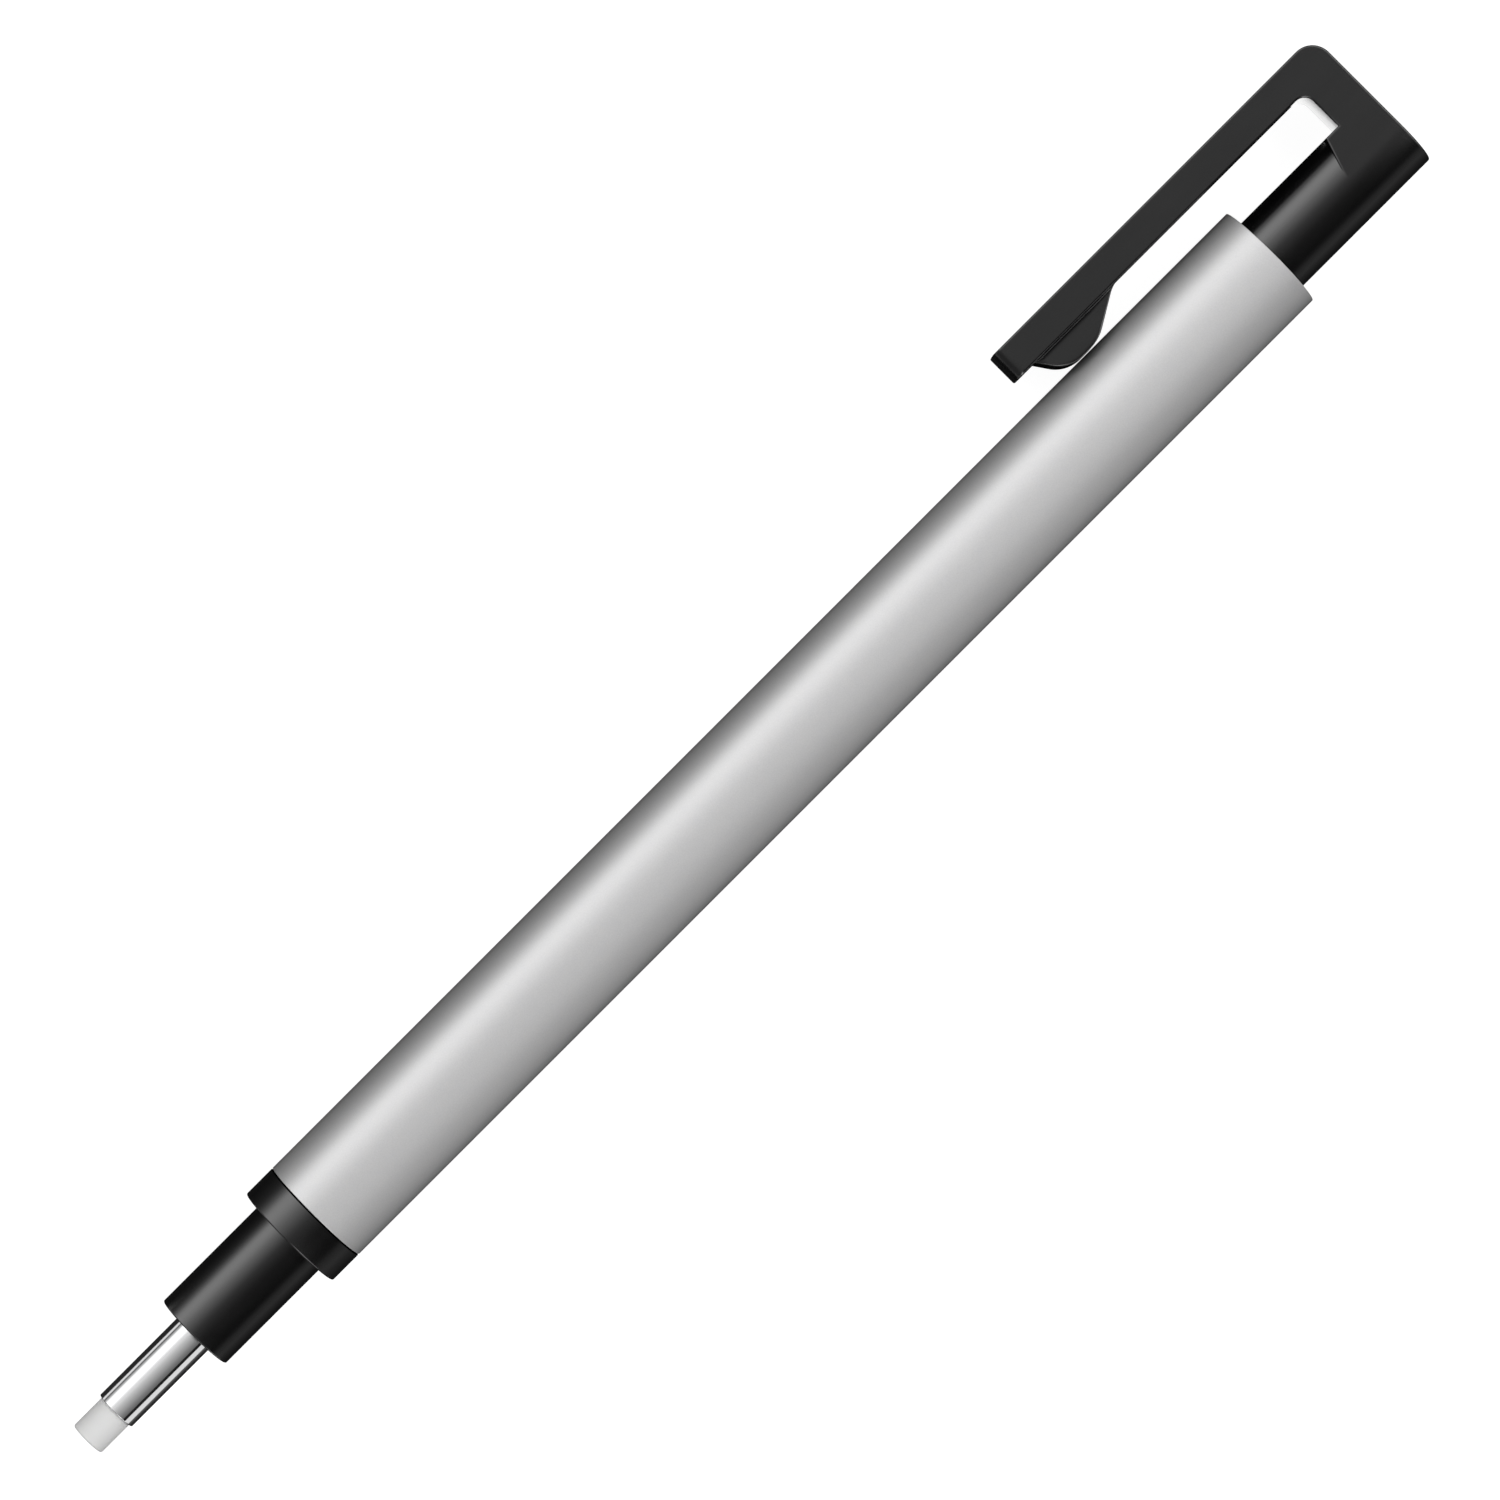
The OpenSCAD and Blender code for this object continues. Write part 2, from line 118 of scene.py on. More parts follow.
def turned(name, outline_mm):
    """Revolves a closed outline of (x, radius) points round the pen's axis."""
    shape = bmesh.new()
    turns = [math.tau * k / ROUND_STEPS for k in range(ROUND_STEPS)]
    rings = []
    for x, radius in outline_mm:
        if radius == 0:
            rings.append([shape.verts.new((x * MM, 0, 0))] * ROUND_STEPS)
            continue
        points = [(x * MM, radius * MM * math.cos(t), radius * MM * math.sin(t)) for t in turns]
        rings.append([shape.verts.new(point) for point in points])
    for i, ring in enumerate(rings):
        after = rings[(i + 1) % len(rings)]
        for k in range(ROUND_STEPS):
            n = (k + 1) % ROUND_STEPS
            corners = list(dict.fromkeys([ring[k], ring[n], after[n], after[k]]))
            if len(corners) > 2:
                shape.faces.new(corners)
    bmesh.ops.recalc_face_normals(shape, faces=shape.faces)
    mesh = bpy.data.meshes.new(name)
    shape.to_mesh(mesh)
    shape.free()
    return mesh


class Wire:
    """A shader socket on which plain arithmetic works."""

    def __init__(self, finish, socket):
        self.finish, self.socket = finish, socket

    def maths(self, operation, *values):
        return self.finish.node("ShaderNodeMath", {"operation": operation}, *values)

    def __add__(self, other):
        return self.maths("ADD", self, other)

    def __mul__(self, other):
        return self.maths("MULTIPLY", self, other)

    __radd__ = __add__
    __rmul__ = __mul__


class Finish:
    """A node material, world or light under making: node() adds one node and wires its inputs."""

    def __init__(self, name, owner=None):
        self.owner = owner or bpy.data.materials.new(name)
        self.owner.use_nodes = True
        self.tree = self.owner.node_tree
        self.tree.nodes.clear()

    def node(self, kind, settings=None, *values, out=0, **named):
        made = self.tree.nodes.new(kind)
        for key, value in (settings or {}).items():
            if key == "stops":
                ramp = made.color_ramp.elements
                for i, (at, colour) in enumerate(value):
                    stop = ramp[i] if i < 2 else ramp.new(at)
                    stop.position, stop.color = at, (*colour, 1)
            else:
                setattr(made, key, value)
        for key, value in [*enumerate(values), *named.items()]:
            socket = made.inputs[key if isinstance(key, int) else key.replace("_", " ")]
            if isinstance(value, Wire):
                self.tree.links.new(value.socket, socket)
            else:
                socket.default_value = value
        return Wire(self, made.outputs[out]) if made.outputs else None

    def place(self, stretch=(1, 1, 1)):
        """Where a point lies on its piece, in the pen's axes and in millimetres, stretched."""
        here = self.node("ShaderNodeTexCoord", out="Object")
        scale = tuple(s / MM for s in stretch)
        return self.node("ShaderNodeVectorMath", {"operation": "MULTIPLY"}, here, scale)

    def speckle(self, per_mm, detail=2, stretch=(1, 1, 1), roughness=0.5):
        """A noise of the given grain, from 0 to 1, centred on a half."""
        return self.node(
            "ShaderNodeTexNoise", None, Vector=self.place(stretch), Scale=per_mm, Detail=detail,
            Roughness=roughness,
        )

    def blend(self, factor, first, second, mode="MIX"):
        """A mix of two colours, or their product where mode is MULTIPLY."""
        first_in, second_in, colour_out = 6, 7, 2
        settings = {"data_type": "RGBA", "blend_type": mode}
        mixed = self.node("ShaderNodeMix", settings, factor, out=colour_out)
        for index, colour in ((first_in, first), (second_in, second)):
            socket = mixed.socket.node.inputs[index]
            if isinstance(colour, Wire):
                self.tree.links.new(colour.socket, socket)
            else:
                socket.default_value = (*colour, 1)
        return mixed

    def bump(self, height, depth_mm):
        """A bumped normal: height from 0 to 1 stands for depth_mm."""
        return self.node("ShaderNodeBump", None, Strength=1.0, Distance=depth_mm * MM, Height=height)

    def surface(self, **named):
        """The finished surface, on the piece's output."""
        shader = self.node("ShaderNodeBsdfPrincipled", None, **named)
        self.node("ShaderNodeOutputMaterial", None, shader)
        return self.owner


def satin_silver():
    """Metallic paint: fine flakes under a clear lacquer, with faint cool and warm clouds."""
    paint = Finish("satin silver paint")
    cool, warm = (0.83, 0.83, 0.84), (0.86, 0.855, 0.85)
    dull, bright = (0.87, 0.87, 0.87), (1.07, 1.07, 1.07)
    flakes = paint.speckle(per_mm=12, detail=3, roughness=0.7)
    clouds = paint.speckle(per_mm=1.6)
    tint = paint.blend(clouds, cool, warm)
    shade = paint.blend(flakes, dull, bright)
    return paint.surface(
        Base_Color=paint.blend(1.0, tint, shade, mode="MULTIPLY"), Metallic=0.72,
        Roughness=0.46 + 0.1 * flakes, Coat_Weight=1.0, Coat_Roughness=0.09, Coat_IOR=1.6,
        Normal=paint.bump(flakes, depth_mm=0.002),
    )


barrel_r = (barrel_high.z - barrel_low.z) / 2 / MM
barrel_front, barrel_rear = barrel_low.x / MM, barrel_high.x / MM
barrel_edge = 0.04
socket_r, socket_len = 3.30, 10
bore_r, guide_r, guide_len = 3.05, 2.90, 4
socket_end = barrel_front + socket_len
barrel = shown(
    "barrel_satin_tube",
    turned("barrel_satin_tube", [
        (barrel_front, socket_r),
        *arc((barrel_front + barrel_edge, barrel_r - barrel_edge), barrel_edge, 180, 90, steps=4),
        *arc((barrel_rear - barrel_edge, barrel_r - barrel_edge), barrel_edge, 90, 0, steps=4),
        (barrel_rear, guide_r),
        (barrel_rear - guide_len, guide_r), (barrel_rear - guide_len, bore_r),
        (socket_end, bore_r), (socket_end, socket_r),
    ]),
    "barrel", "barrel",
)
barrel.data.materials.append(satin_silver())


# Nose cap: slim sleeve, collar and screwed shank in one black moulding, bored in steps from
# behind for the pipe's flange, the rubber ring, the jaws and the clutch ring.
def black_plastic(name):
    """Black moulded plastic with a soft gloss and the faint grain of its mould."""
    plastic = Finish(name)
    deep, handled = (0.0018, 0.0018, 0.0019), (0.0032, 0.0032, 0.0033)
    grain = plastic.speckle(per_mm=7, detail=3)
    wear = plastic.speckle(per_mm=0.7, detail=4, stretch=(0.3, 1, 1))
    return plastic.surface(
        Base_Color=plastic.blend(wear, deep, handled), Roughness=0.16 + 0.05 * wear, IOR=1.99,
        Normal=plastic.bump(grain, depth_mm=0.0008),
    )


def seam_shade():
    """Painted shade for the seam's bottom: matt near-black with no gloss, so that the seam shows as a
    dark line.
    """
    shade = Finish("seam shade")
    darkest, dark = (0.001, 0.001, 0.001), (0.002, 0.002, 0.002)
    grain = shade.speckle(per_mm=8)
    return shade.surface(
        Base_Color=shade.blend(grain, darkest, dark), Roughness=0.9, Specular_IOR_Level=0.0,
    )


nose_low, nose_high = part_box("nose_cap")
sleeve_front = nose_low.x / MM
shank_rear = nose_high.x / MM
sleeve_r, sleeve_len, nose_edge = 2.85, 8.7, 0.1
seam_w, seam_depth = 0.11, 0.3
pipe_r, pipe_seat, flange_r, flange_t = 1.45, 2.2, 1.85, 0.3
rubber_r, grip_len, jaw_room_r, ring_room_r = 2.07, 2, 2.37, 2.70
ring_stop_at, shank_r = 10.15, 3.25
ring_stop = sleeve_front + ring_stop_at
collar_front = sleeve_front + sleeve_len
grip_front = sleeve_front + pipe_seat + flange_t
nose_cap = shown(
    "nose_cap_moulding",
    turned("nose_cap_moulding", [
        (sleeve_front, pipe_r),
        *arc((sleeve_front + nose_edge, sleeve_r - nose_edge), nose_edge, 180, 90),
        (collar_front, sleeve_r),
        *arc((collar_front + nose_edge, barrel_r - nose_edge), nose_edge, 180, 90),
        (barrel_front - seam_w, barrel_r), (barrel_front - seam_w, barrel_r - seam_depth),
        (barrel_front, barrel_r - seam_depth), (barrel_front, shank_r), (shank_rear, shank_r),
        (shank_rear, ring_room_r), (ring_stop, ring_room_r), (ring_stop, jaw_room_r),
        (grip_front + grip_len, jaw_room_r), (grip_front + grip_len, rubber_r),
        (grip_front, rubber_r), (grip_front, flange_r),
        (sleeve_front + pipe_seat, flange_r), (sleeve_front + pipe_seat, pipe_r),
    ]),
    "barrel", "nose_cap",
)
nose_cap.data.materials.append(black_plastic("nose cap plastic"))
nose_cap.data.materials.append(seam_shade())
# The faces of the seam's groove take the painted seam shade.
seam_shade_slot, slack = 1, 0.01
for face in nose_cap.data.polygons:
    places = [nose_cap.data.vertices[i].co.x / MM for i in face.vertices]
    if min(places) > barrel_front - seam_w - slack and max(places) < barrel_front + slack:
        face.material_index = seam_shade_slot


# Guide pipe: a drawn and polished metal pipe, pressed into the sleeve from behind until its
# rolled flange seats. Its front lip is rounded so that it doesn't cut the stick.
def polished_pipe():
    """Polished plating with the hair lines that drawing leaves round the pipe."""
    plate = Finish("polished pipe plating")
    dark, light = (0.88, 0.885, 0.89), (0.93, 0.93, 0.935)
    lines = plate.speckle(per_mm=40, stretch=(1, 0.05, 0.05))
    return plate.surface(
        Base_Color=plate.blend(lines, dark, light), Metallic=1.0, Roughness=0.06 + 0.04 * lines,
    )


pipe_low, pipe_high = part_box("guide_pipe")
pipe_front, pipe_rear = pipe_low.x / MM, pipe_high.x / MM
pipe_bore_r, pipe_lip = 1.30, 0.06
guide_pipe = shown(
    "guide_pipe_drawn",
    turned("guide_pipe_drawn", [
        (pipe_front, pipe_bore_r),
        *arc((pipe_front + pipe_lip, pipe_r - pipe_lip), pipe_lip, 180, 90),
        (pipe_rear - flange_t, pipe_r), (pipe_rear - flange_t, flange_r),
        (pipe_rear, flange_r), (pipe_rear, pipe_bore_r),
    ]),
    "barrel", "guide_pipe",
)
guide_pipe.data.materials.append(polished_pipe())


# Eraser stick: white vinyl, extruded and cut square, with edges that handling has softened. It
# slides in the core tube and the guide pipe, and the chuck's jaws between the two hold it.
def white_vinyl():
    """Matte white vinyl with a very fine open grain."""
    vinyl = Finish("white eraser vinyl")
    cream, white = (0.94, 0.94, 0.932), (0.965, 0.965, 0.958)
    grain = vinyl.speckle(per_mm=11, detail=4, roughness=0.6)
    clouds = vinyl.speckle(per_mm=0.9)
    return vinyl.surface(
        Base_Color=vinyl.blend(clouds, cream, white), Roughness=0.62 + 0.14 * grain,
        Subsurface_Weight=0.15, Subsurface_Radius=(0.5 * MM, 0.5 * MM, 0.45 * MM),
        Subsurface_Scale=1.0, Normal=vinyl.bump(grain, depth_mm=0.006),
    )


core_low, core_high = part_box("core")
core_front, core_rear = core_low.x / MM, core_high.x / MM
core_r, core_edge = 1.25, 0.12
core = shown(
    "core_vinyl_stick",
    turned("core_vinyl_stick", [
        (core_front, 0),
        *arc((core_front + core_edge, core_r - core_edge), core_edge, 180, 90),
        *arc((core_rear - core_edge, core_r - core_edge), core_edge, 90, 0),
        (core_rear, 0),
    ]),
    "core", "core",
)
core.data.materials.append(white_vinyl())


# Clip knob: rod, squared head, bridge, arm and bead in one black moulding. The rod is bored from
# the front and pushed on the core tube. The head's flanks are as wide as the rod and run out into
# it on a slant, and the bead under the arm ends just clear of the barrel.
rod_r, rod_front = 2.85, 40.0
head_len, head_slant = 5.0, 0.9
arm_len, arm_t, arm_gap = 29.2, 2.25, 1.95
bridge_t, bridge_r, window_r = 2.95, 1.5, 0.8
arm_tip_r, arm_tip_edge = 0.9, 0.12
outer_edge, inner_edge = 0.12, 0.15
bead_at, bead_half, bead_fillet, bead_edge, bead_fit = 4.5, 2.45, 0.3, 0.14, 0.05
bead_flank_shares = (1, 0.9, 0.1)
edge_turns, flank_turns = range(0, 91, 15), range(0, 91, 2)
weld_mm = 0.0002
knob_bore_r, knob_bore_end = 2.14, 52.3
knob_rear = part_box("clip_knob")[1].x / MM
head_front = knob_rear - head_len
window_rear = knob_rear - bridge_t
arm_front = knob_rear - arm_len
arm_low = barrel_r + arm_gap
arm_top = arm_low + arm_t


def rounding(radius, past):
    """How far a rounded edge has fallen away at a distance past its beginning."""
    past = min(max(past, 0), radius)
    return radius - math.sqrt(radius ** 2 - past ** 2)


def bead_line():
    """The bead from the side, as (x, depth): steep in front, round below, a slope and a hollow."""
    front_r, rear_r, flat, hollow_r = 2.3, 3.0, 0.64, 2.0
    front_slope, rear_slope = 56, 31
    depth, low = arm_gap - bead_fit, arm_front + bead_at
    under = [
        *arc((low - flat / 2, front_r - depth), front_r, 270 - front_slope, 270, steps=14),
        *arc((low + flat / 2, rear_r - depth), rear_r, 270, 270 + rear_slope, steps=10),
    ]
    (first_x, first_y), (last_x, last_y) = under[0], under[-1]
    front_foot = first_x + first_y / math.tan(math.radians(front_slope))
    rear_foot = last_x - last_y / math.tan(math.radians(rear_slope))
    run_out = hollow_r * math.tan(math.radians(rear_slope / 2))
    hollow = arc((rear_foot + run_out, -hollow_r), hollow_r, 90 + rear_slope, 90)
    return [(x, -y) for x, y in [(front_foot, 0), *under, *hollow]]


def knob_section(z, in_bead):
    """The knob's outline at a distance z from its middle plane, from the rod's front, below.

    in_bead is 1 inside the bead, 0 beside it, and between them on the bead's flank.
    """
    past = abs(z)
    rod_y = math.sqrt(max(rod_r ** 2 - past ** 2, 0))
    outer = rounding(outer_edge, past - rod_r + outer_edge)
    inner = rounding(inner_edge, past - rod_r + inner_edge)
    tip_x = arm_front + rounding(arm_tip_r, past - rod_r + arm_tip_r)
    slant_skin = inner * math.hypot(1, head_slant / rod_r)
    slant_x = head_front + slant_skin
    root_x = slant_x + head_slant * rod_y / rod_r
    points = [(rod_front, -rod_y), (root_x, -rod_y)]
    for turn in edge_turns:
        x = outer_edge - (outer_edge - outer) * math.sin(math.radians(turn))
        r = rod_r - rounding(outer_edge, outer_edge - x)
        points.append((knob_rear - x, -math.sqrt(max(r ** 2 - past ** 2, 0))))
    points += arc((knob_rear - bridge_r, arm_top - bridge_r), bridge_r - outer, 0, 90, steps=16)
    points += arc((tip_x + arm_tip_edge, arm_top - outer - arm_tip_edge), arm_tip_edge, 90, 180)
    points += arc((tip_x + arm_tip_edge, arm_low + inner + arm_tip_edge), arm_tip_edge, 180, 270)
    for x, depth in bead_line():
        share = min(1, depth / (bead_fillet + bead_edge))
        drop = depth - share * rounding(bead_edge, past - bead_half + bead_edge)
        foot = share * rounding(bead_fillet, bead_half + bead_fillet - past)
        points.append((x, arm_low + inner - foot - (drop - foot) * in_bead))
    window_corner = (window_rear - window_r, arm_low - window_r)
    points += arc(window_corner, window_r + inner, 90, 0, steps=10)
    points += [
        (window_rear + inner, rod_r - inner),
        (slant_x + head_slant * (rod_r - inner) / rod_r, rod_r - inner),
        (root_x, rod_y), (rod_front, rod_y),
    ]
    return points


def knob_levels():
    """The distances from the middle plane at which the knob's outline is drawn, to one side."""
    quarter = [math.radians(turn) for turn in edge_turns]
    levels = {round(rod_r * math.sin(math.radians(turn)), 5) for turn in flank_turns}
    levels |= {round(bead_half + bead_fillet * (1 - math.sin(t)), 5) for t in quarter}
    levels |= {round(bead_half - bead_edge * (1 - math.cos(t)), 5) for t in quarter}
    levels = [(level, int(level < bead_half)) for level in levels]
    flank = [(bead_half, share) for share in bead_flank_shares]
    return sorted([*levels, *flank], key=lambda level: (level[0], -level[1]))


def knob_mesh():
    """Draws the knob's skin from one flank to the other, and bores the rod."""
    shape = bmesh.new()
    levels = [(-z, in_bead) for z, in_bead in reversed(knob_levels()[1:])] + knob_levels()
    rings = []
    for z, in_bead in levels:
        rings.append([shape.verts.new((x * MM, y * MM, z * MM)) for x, y in knob_section(z, in_bead)])
    for ring, after in zip(rings, rings[1:]):
        for i in range(len(ring) - 1):
            shape.faces.new([ring[i], ring[i + 1], after[i + 1], after[i]])
    shape.faces.new(rings[0][1:-1])
    shape.faces.new(rings[-1][1:-1])
    mouth = [ring[-1] for ring in rings] + [ring[0] for ring in reversed(rings)]
    share = knob_bore_r / rod_r
    for x in (rod_front, knob_bore_end):
        bore = [shape.verts.new((x * MM, v.co.y * share, v.co.z * share)) for v in mouth]
        share = 1
        for k in range(len(mouth)):
            shape.faces.new([mouth[k - 1], mouth[k], bore[k], bore[k - 1]])
        mouth = bore
    shape.faces.new(mouth)
    bmesh.ops.remove_doubles(shape, verts=shape.verts, dist=weld_mm * MM)
    bmesh.ops.recalc_face_normals(shape, faces=shape.faces)
    mesh = bpy.data.meshes.new("clip_knob_moulding")
    shape.to_mesh(mesh)
    shape.free()
    return mesh


clip_knob = shown("clip_knob_moulding", knob_mesh(), "knob", "clip_knob")
clip_knob.data.materials.append(black_plastic("clip knob plastic"))


# Inner pieces: rubber ring, brass jaws and clutch ring, metal sleeve and plastic tube. The barrel
# and the nose cap hide them, so they stay as the frame has them and get their finishes.
def turned_metal(name, dark, light, roughness):
    """Turned or drawn metal with fine lines round it."""
    metal = Finish(name)
    lines = metal.speckle(per_mm=9, stretch=(1, 0.05, 0.05))
    return metal.surface(
        Base_Color=metal.blend(lines, dark, light), Metallic=1.0,
        Roughness=roughness + 0.12 * lines, Normal=metal.bump(lines, depth_mm=0.001),
    )


def dull_moulding(name, dark, light, roughness):
    """Plain moulded plastic or rubber with a fine grain."""
    stuff = Finish(name)
    grain = stuff.speckle(per_mm=6, detail=3)
    return stuff.surface(
        Base_Color=stuff.blend(grain, dark, light), Roughness=roughness + 0.1 * grain,
        Normal=stuff.bump(grain, depth_mm=0.003),
    )


inner = {
    "friction_ring": dull_moulding("ring rubber", (0.012, 0.012, 0.012), (0.02, 0.02, 0.02), 0.7),
    "chuck": turned_metal("chuck brass", (0.70, 0.50, 0.22), (0.80, 0.60, 0.30), 0.25),
    "clutch_ring": turned_metal("ring brass", (0.72, 0.53, 0.25), (0.82, 0.64, 0.34), 0.2),
    "clutch_sleeve": turned_metal("sleeve metal", (0.50, 0.50, 0.49), (0.62, 0.62, 0.61), 0.3),
    "core_tube": dull_moulding("tube plastic", (0.62, 0.63, 0.63), (0.70, 0.71, 0.71), 0.4),
}
for node_name, finish in inner.items():
    mesh = frame["nodes"][node_name].data
    mesh.materials.clear()
    mesh.materials.append(finish)


# Return spring: one steel wire wound into a coil. It stands between the clutch sleeve's front wall
# and the core tube's collar. On the real pen it shortens as the knob is pressed; here it is drawn at
# rest length and does not shorten.
def coiled_wire(name, front, rear, coil_r, wire_r, turns):
    """A round wire wound round the pen's axis from its front to its rear end."""
    shape = bmesh.new()
    steps, wire_sides = 32, 12
    rise = (rear - front) / turns
    rings = []
    for i in range(turns * steps + 1):
        t = math.tau * i / steps
        out = Vector((0, math.cos(t), math.sin(t)))
        centre = Vector((front + rise * i / steps, 0, 0)) + coil_r * out
        run = Vector((rise / math.tau, -coil_r * math.sin(t), coil_r * math.cos(t))).normalized()
        side = run.cross(out)
        angles = [math.tau * k / wire_sides for k in range(wire_sides)]
        skin = [centre + wire_r * (math.cos(a) * out + math.sin(a) * side) for a in angles]
        rings.append([shape.verts.new(point * MM) for point in skin])
    for ring, after in zip(rings, rings[1:]):
        for k in range(wire_sides):
            shape.faces.new([ring[k - 1], ring[k], after[k], after[k - 1]])
    shape.faces.new(rings[0])
    shape.faces.new(rings[-1])
    bmesh.ops.recalc_face_normals(shape, faces=shape.faces)
    mesh = bpy.data.meshes.new(name)
    shape.to_mesh(mesh)
    shape.free()
    return mesh


spring_low, spring_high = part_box("return_spring")
coil_r, wire_r, coil_turns = 2.13, 0.2, 9
coil_front, coil_rear = spring_low.x / MM + wire_r, spring_high.x / MM - wire_r
return_spring = shown(
    "return_spring_coil",
    coiled_wire("return_spring_coil", coil_front, coil_rear, coil_r, wire_r, coil_turns),
    "barrel", "return_spring",
)
return_spring.data.materials.append(
    turned_metal("spring wire", (0.48, 0.49, 0.50), (0.60, 0.61, 0.62), 0.25)
)
bpy.context.view_layer.update()
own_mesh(return_spring)


# Table: a plain pale board that glows, so that it comes out white. The camera alone sees it. A
# grey card just below it stands for it in the light that falls on the pen and in reflections.
def board(name, corners_mm, finish):
    """A flat board with four corners that is part of the studio."""
    mesh = bpy.data.meshes.new(name)
    mesh.from_pydata([tuple(c * MM for c in corner) for corner in corners_mm], [], [(0, 1, 2, 3)])
    piece = bpy.data.objects.new(name, mesh)
    bpy.context.scene.collection.objects.link(piece)
    mesh.materials.append(finish)
    return piece


def level_corners(front, rear, far, near, height):
    """The corners of a level rectangle: front and rear along x, far and near along y."""
    return [(front, far, height), (rear, far, height), (rear, near, height), (front, near, height)]


def glowing_card(name, shade, *glows):
    """Matt card with a glow behind it that changes across it: glows are (y, glow)."""
    card = Finish(name)
    low, high = glows[0][0], glows[-1][0]
    spots = [((y - low) / (high - low), (glow,) * 3) for y, glow in glows]
    grain = card.speckle(per_mm=0.4)
    across = card.node(
        "ShaderNodeVectorMath", {"operation": "DOT_PRODUCT"}, card.place(), (0, 1, 0), out="Value",
    )
    share = card.node("ShaderNodeMapRange", None, across, low, high, 0.0, 1.0)
    return card.surface(
        Base_Color=card.blend(grain, (shade,) * 3, (shade * 1.03,) * 3), Roughness=0.9,
        Specular_IOR_Level=0.0, Emission_Color=card.node("ShaderNodeValToRGB", {"stops": spots}, share),
        Emission_Strength=1.0,
    )


table_half = 3000
table_glow, grey_card_height = 0.96, -0.05
floor = board(
    "floor", level_corners(-table_half, table_half, -table_half, table_half, 0),
    glowing_card("pale board", 0.28, (-1, table_glow), (1, table_glow)),
)
floor.visible_diffuse = False
floor.visible_glossy = False
floor.visible_shadow = False
# The grey card's glow is nil under the pen and close beside it, and grows away from it on both sides:
# painted shade next to the pen, as it shows in the pen's reflections.
grey_card = board(
    "card", level_corners(-table_half, table_half, -table_half, table_half, grey_card_height),
    glowing_card(
        "grey card", 0.03, (-80, 0.15), (-38, 0.13), (-17, 0.05), (-10, 0.0), (6, 0.0), (17, 0.04),
        (80, 0.17),
    ),
)
grey_card.visible_camera = False


# Reflector cards: small glowing cards near the pen's ends, which show in reflections alone. One
# lies below the clip's window, and three stand round the polished pipe and draw the lines on it.
low_card_height, over_pipe_height = -0.04, 11.95
window_glow, clip_side_glow, far_side_glow = 1.7, 0.45, 0.75
window_card = board(
    "window_card", level_corners(56.4, 57.05, -0.05, 3.3, low_card_height),
    glowing_card("window card", 0.3, (0, window_glow), (1, window_glow)),
)
clip_side = [(-51.3, 9), (-53, 27), (-75, 27), (-75, 9)]
clip_side_card = board(
    "clip_side_card", [(x, y, low_card_height) for x, y in clip_side],
    glowing_card("clip side card", 0.4, (9, clip_side_glow), (27, clip_side_glow)),
)
over_pipe = [(-59, -11.2), (-51.25, -11.2), (-50.9, 1.74), (-59, 1.74)]
fill_card = board(
    "fill_card", [(x, y, over_pipe_height) for x, y in over_pipe],
    glowing_card(
        "fill card", 0.02, (-11.2, 0.12), (-8.6, 0.167), (-6.65, 0.217), (-3.68, 0.36),
        (-1.11, 0.53), (0.96, 0.716), (1.74, 0.78),
    ),
)
far_side_y = -8.25
far_side = [(-58.4, 4.29), (-50.8, 4.29), (-50.8, 7.35), (-58.4, 7.35)]
far_side_card = board(
    "far_side_card", [(x, far_side_y, z) for x, z in far_side],
    glowing_card("far side card", 0.02, (-9, far_side_glow), (-8, far_side_glow)),
)
for reflector in (window_card, clip_side_card, fill_card, far_side_card):
    reflector.visible_camera = False
    reflector.visible_diffuse = False
    reflector.visible_shadow = False


# Light: a soft studio without lamps, whose glow depends on the direction alone. A wide soft box
# stands on the clip's side along the barrel, and others light the tip and the knob from beyond
# them. The camera sees an even pale backdrop instead.
GLOW = 4.0
BACKDROP_GLOW = 0.9
DEGREES = 180 / math.pi
TIP_LIGHT_FADE, KNOB_LIGHT_FADE = (-0.26, -0.45), (0.26, 0.45)
TIP_SKY_FADE, KNOB_SKY_FADE = (-0.5, -0.68), (0.5, 0.68)


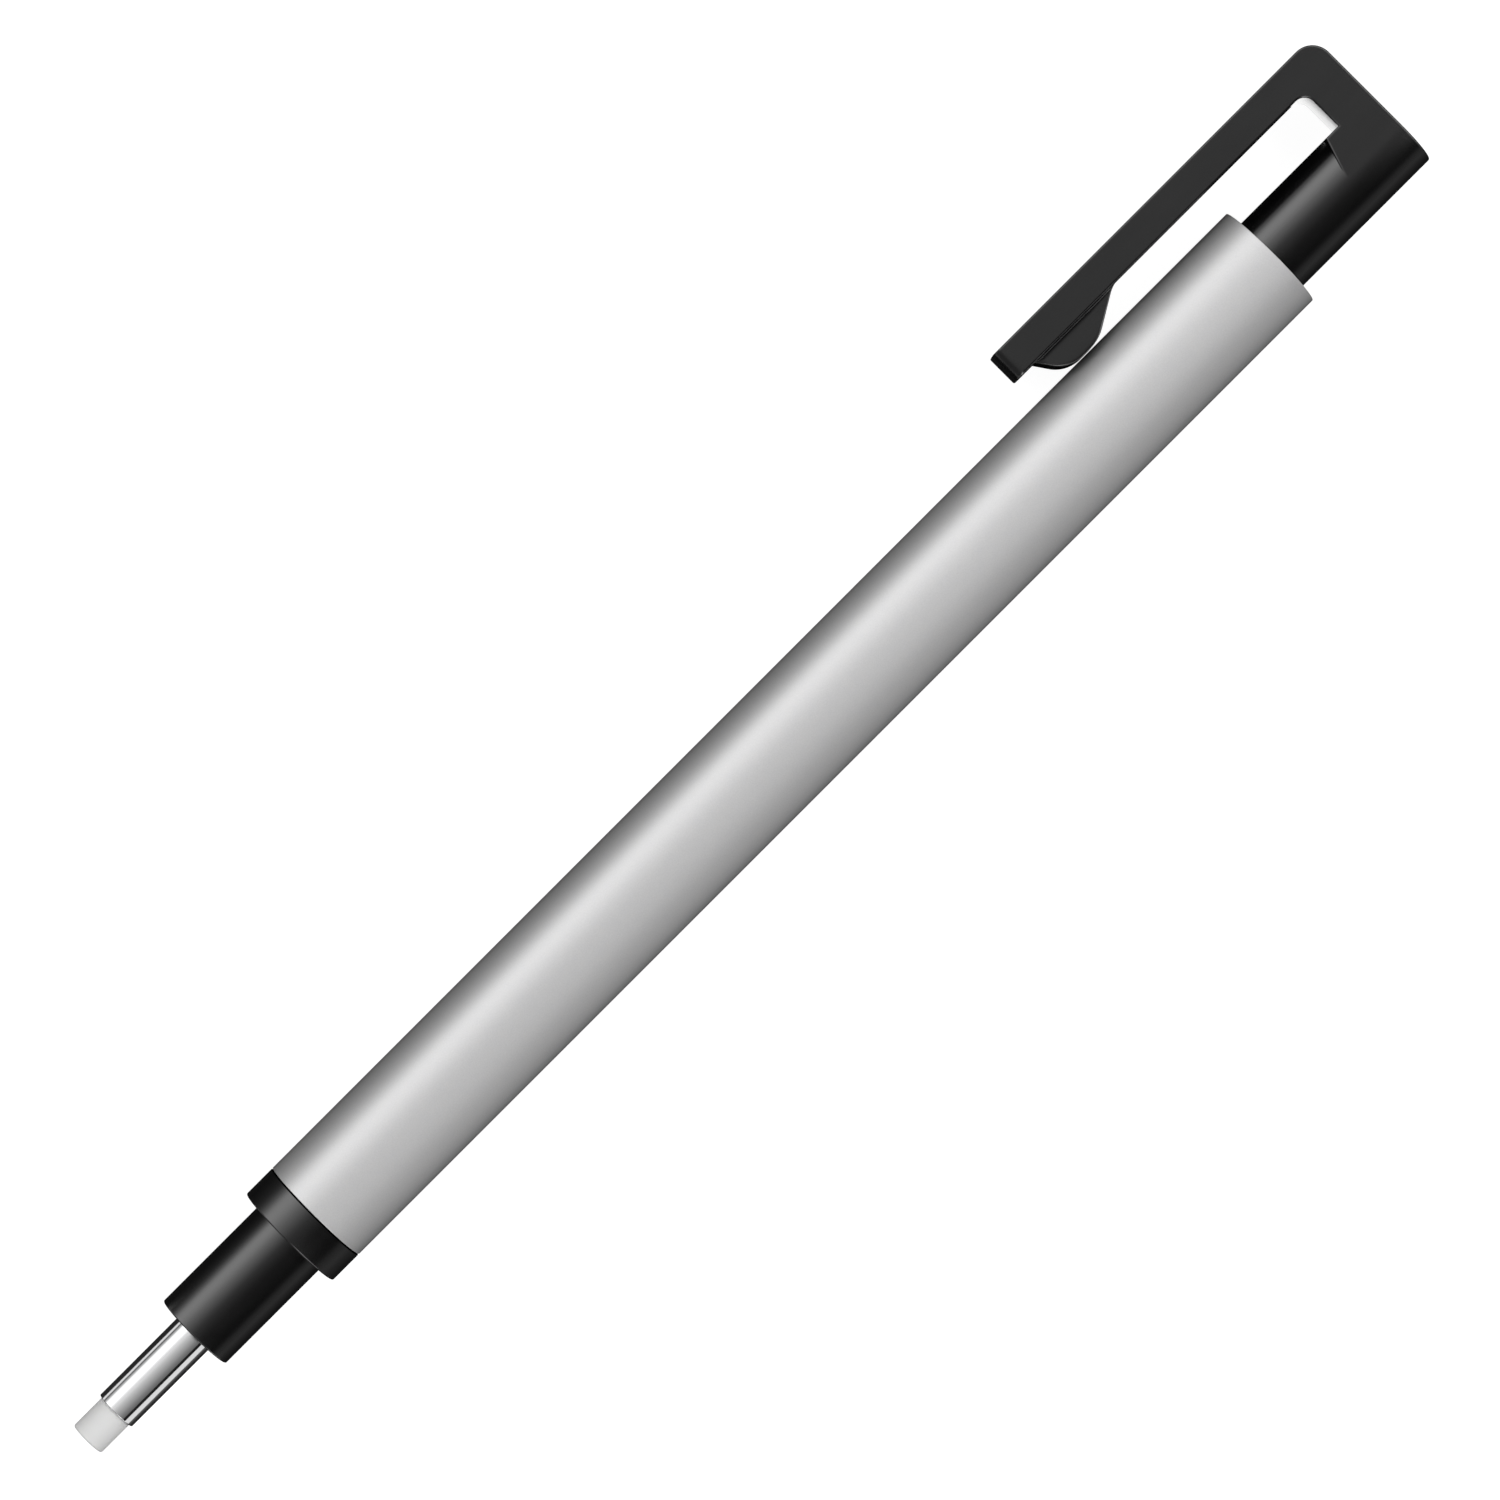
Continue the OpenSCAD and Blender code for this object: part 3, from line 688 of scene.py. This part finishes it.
def studio_light():
    """The light that comes from each direction, as a world."""
    world = bpy.data.worlds.new("studio")
    bpy.context.scene.world = world
    air = Finish("studio", world)
    way = air.node("ShaderNodeTexCoord", out="Generated")

    def reach(axis):
        dot = {"operation": "DOT_PRODUCT"}
        return air.node("ShaderNodeVectorMath", dot, way, tuple(axis), out="Value")

    def round_pen(*stops):
        low, high = stops[0][0], stops[-1][0]
        spots = [((at - low) / (high - low), (glow / GLOW,) * 3) for at, glow in stops]
        spot = air.node("ShaderNodeMapRange", None, turn, low, high, 0.0, 1.0)
        return air.node("ShaderNodeValToRGB", {"stops": spots}, spot)

    def fading(low, high):
        smooth = {"interpolation_type": "SMOOTHSTEP"}
        return air.node("ShaderNodeMapRange", smooth, ends, low, high, 0.0, 1.0)

    ends = reach(along)
    arctan = {"operation": "ARCTAN2"}
    turn = air.node("ShaderNodeMath", arctan, reach(to_clip), reach(to_eye)) * DEGREES
    sides = round_pen(
        (-180, 0.15), (-98, 0.15), (-90, 0.14), (-84, 0.11), (-78, 0.05), (-72, 0.012),
        (-60, 0.012), (-55, 0.02), (-30, 0.035), (-20, 0.08), (-10, 0.15), (0, 0.22), (10, 0.44),
        (20, 0.7), (30, 1.0), (40, 1.4), (50, 1.66), (60, 1.58), (65, 1.25), (70, 0.8), (75, 0.5),
        (80, 0.33), (85, 0.2), (98, 0.1), (180, 0.0),
    )
    knob_light = round_pen(
        (-180, 0.0), (-100, 0.0), (-90, 0.5), (-60, 1.4), (-40, 2.5), (-20, 3.4), (0, 3.2),
        (20, 1.9), (40, 0.6), (60, 0.1), (90, 0.0), (180, 0.0),
    )
    tip_light = round_pen(
        (-180, 0.0), (-100, 0.0), (-90, 1.6), (-60, 2.0), (-40, 3.0), (-25, 2.2), (-10, 0.2),
        (10, 0.2), (22, 1.2), (35, 0.8), (60, 0.1), (90, 0.0), (180, 0.0),
    )
    knob_sky = round_pen(
        (-180, 0.0), (-100, 0.0), (-90, 0.35), (-40, 0.65), (40, 0.65), (90, 0.35), (180, 0.0),
    )
    tip_sky = round_pen(
        (-180, 0.0), (-100, 0.0), (-90, 0.4), (-45, 0.4), (-20, 0.12), (20, 0.12), (45, 0.4),
        (90, 0.4), (180, 0.0),
    )
    glow = air.blend(fading(*TIP_LIGHT_FADE), sides, tip_light)
    glow = air.blend(fading(*KNOB_LIGHT_FADE), glow, knob_light)
    glow = air.blend(fading(*KNOB_SKY_FADE), glow, knob_sky)
    glow = air.blend(fading(*TIP_SKY_FADE), glow, tip_sky)
    seen = air.node("ShaderNodeLightPath", out="Is Camera Ray")
    backdrop = (BACKDROP_GLOW / GLOW,) * 3
    shine = air.node("ShaderNodeBackground", None, air.blend(seen, glow, backdrop), GLOW)
    air.node("ShaderNodeOutputWorld", None, shine)


studio_light()
bpy.context.scene.view_settings.view_transform = "Standard"
